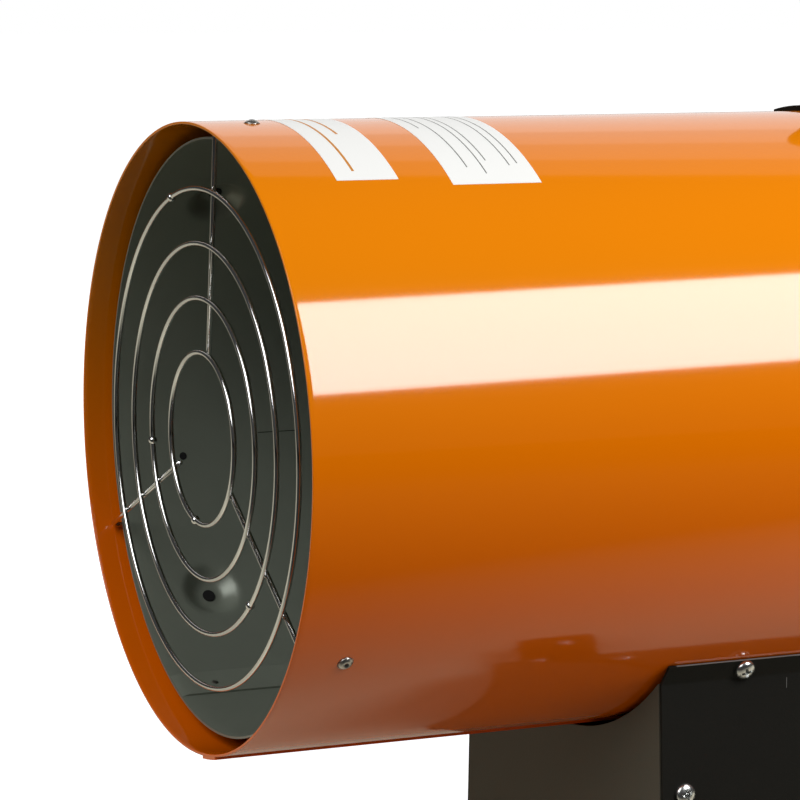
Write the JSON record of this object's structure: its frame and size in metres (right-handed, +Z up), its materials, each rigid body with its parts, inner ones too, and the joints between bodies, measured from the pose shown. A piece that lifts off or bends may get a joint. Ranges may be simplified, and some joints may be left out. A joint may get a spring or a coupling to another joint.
{
  "type": "gas forced air heater",
  "caption": "Portable gas heater: round orange casing with wire outlet grille, burner and fan on one axis, on a dark sheet base with gas valve, igniter, switch, cross feet and carry handle.",
  "frame": {"origin": "on the floor, under the middle of the casing, at the bottom centre of the bounding box", "axes": "+Y along the casing from the hot air outlet to the air inlet, +Z up, +X to the side of the switch and the cable gland"},
  "size_m": [0.25, 0.5, 0.429],
  "materials": {
    "orange_paint": "glossy powder coat, bright orange",
    "galvanised_steel": "galvanised sheet, dull grey green with a slight sheen",
    "heat_steel": "bare heat resistant steel",
    "rivet_metal": "blind rivets, satin",
    "chromed_wire": "bright chromed wire",
    "zinc_steel": "bright zinc plate",
    "grey_paint": "dark grey satin powder coat",
    "black_paint": "black satin powder coat",
    "sintered_bronze": "sintered bronze",
    "bright_steel": "ground steel",
    "fan_aluminium": "pressed aluminium, satin",
    "brass": "turned brass",
    "copper": "drawn copper",
    "ceramic": "glazed white ceramic",
    "black_silicone": "black rubber",
    "grip_foam": "black soft grip with ribs",
    "black_plastic": "black moulded plastic",
    "red_plastic": "red moulded plastic",
    "white_plastic": "off-white moulded plastic"
  },
  "bodies": {
    "heater": {"outer_casing": "orange_paint", "combustion_liner": "galvanised_steel", "burner_plate": "galvanised_steel", "burner_bracket": "galvanised_steel", "thermostat_bracket": "galvanised_steel", "flame_cup": "heat_steel", "electrode_wire": "heat_steel", "liner_rivets": "rivet_metal", "grille_rivets": "rivet_metal", "outlet_grille": "chromed_wire", "rear_guard": "chromed_wire", "guard_screws": "zinc_steel", "strap_screws": "zinc_steel", "bracket_screws": "zinc_steel", "cover_screws": "zinc_steel", "flange_screws": "zinc_steel", "foot_screws": "zinc_steel", "rail_screws": "zinc_steel", "handle_screws": "zinc_steel", "motor_nuts": "zinc_steel", "valve_nut": "zinc_steel", "motor_strap": "grey_paint", "base_frame": "grey_paint", "side_cover_left": "black_paint", "side_cover_right": "black_paint", "foot_rail_front": "black_paint", "foot_rail_rear": "black_paint", "carry_handle": "black_paint", "motor_body": "black_paint", "motor_bushes": "sintered_bronze", "nozzle_holder": "brass", "holder_nut": "brass", "gas_nozzle": "brass", "pipe_nuts": "brass", "gas_valve": "brass", "gas_inlet_fitting": "brass", "gas_pipe": "copper", "thermocouple": "copper", "thermocouple_lead": "copper", "electrode_insulator": "ceramic", "igniter_lead": "black_silicone", "grommets": "black_silicone", "motor_lead": "black_silicone", "rubber_feet": "black_silicone", "handle_grip": "grip_foam", "igniter_body": "black_plastic", "igniter_nut": "black_plastic", "switch_body": "black_plastic", "cable_gland": "black_plastic", "gland_nut": "black_plastic", "limit_thermostat": "black_plastic", "terminal_block": "white_plastic"},
    "fan": {"motor_shaft": "bright_steel", "fan_impeller": "fan_aluminium", "fan_nut": "zinc_steel"},
    "valve_button": {"valve_button": "red_plastic"},
    "igniter_button": {"igniter_button": "red_plastic"},
    "rocker": {"switch_rocker": "red_plastic"}
  },
  "joints": [
    {"name": "fan_spin", "type": "hinge", "parent": "heater", "child": "fan", "pos_m": [0, 0.1355, 0.25], "axis": [0, 1, 0], "continuous": true},
    {"name": "valve_button_press", "type": "slide", "parent": "heater", "child": "valve_button", "axis": [0, -1, 0], "range_m": [0, 0.006], "stiffness_N_per_m": 300},
    {"name": "igniter_button_press", "type": "slide", "parent": "heater", "child": "igniter_button", "axis": [0, -1, 0], "range_m": [0, 0.007], "stiffness_N_per_m": 300},
    {"name": "switch_rock", "type": "hinge", "parent": "heater", "child": "rocker", "pos_m": [0.042, 0.1833, 0.092], "axis": [1, 0, 0], "range_deg": [0, 22]}
  ]
}
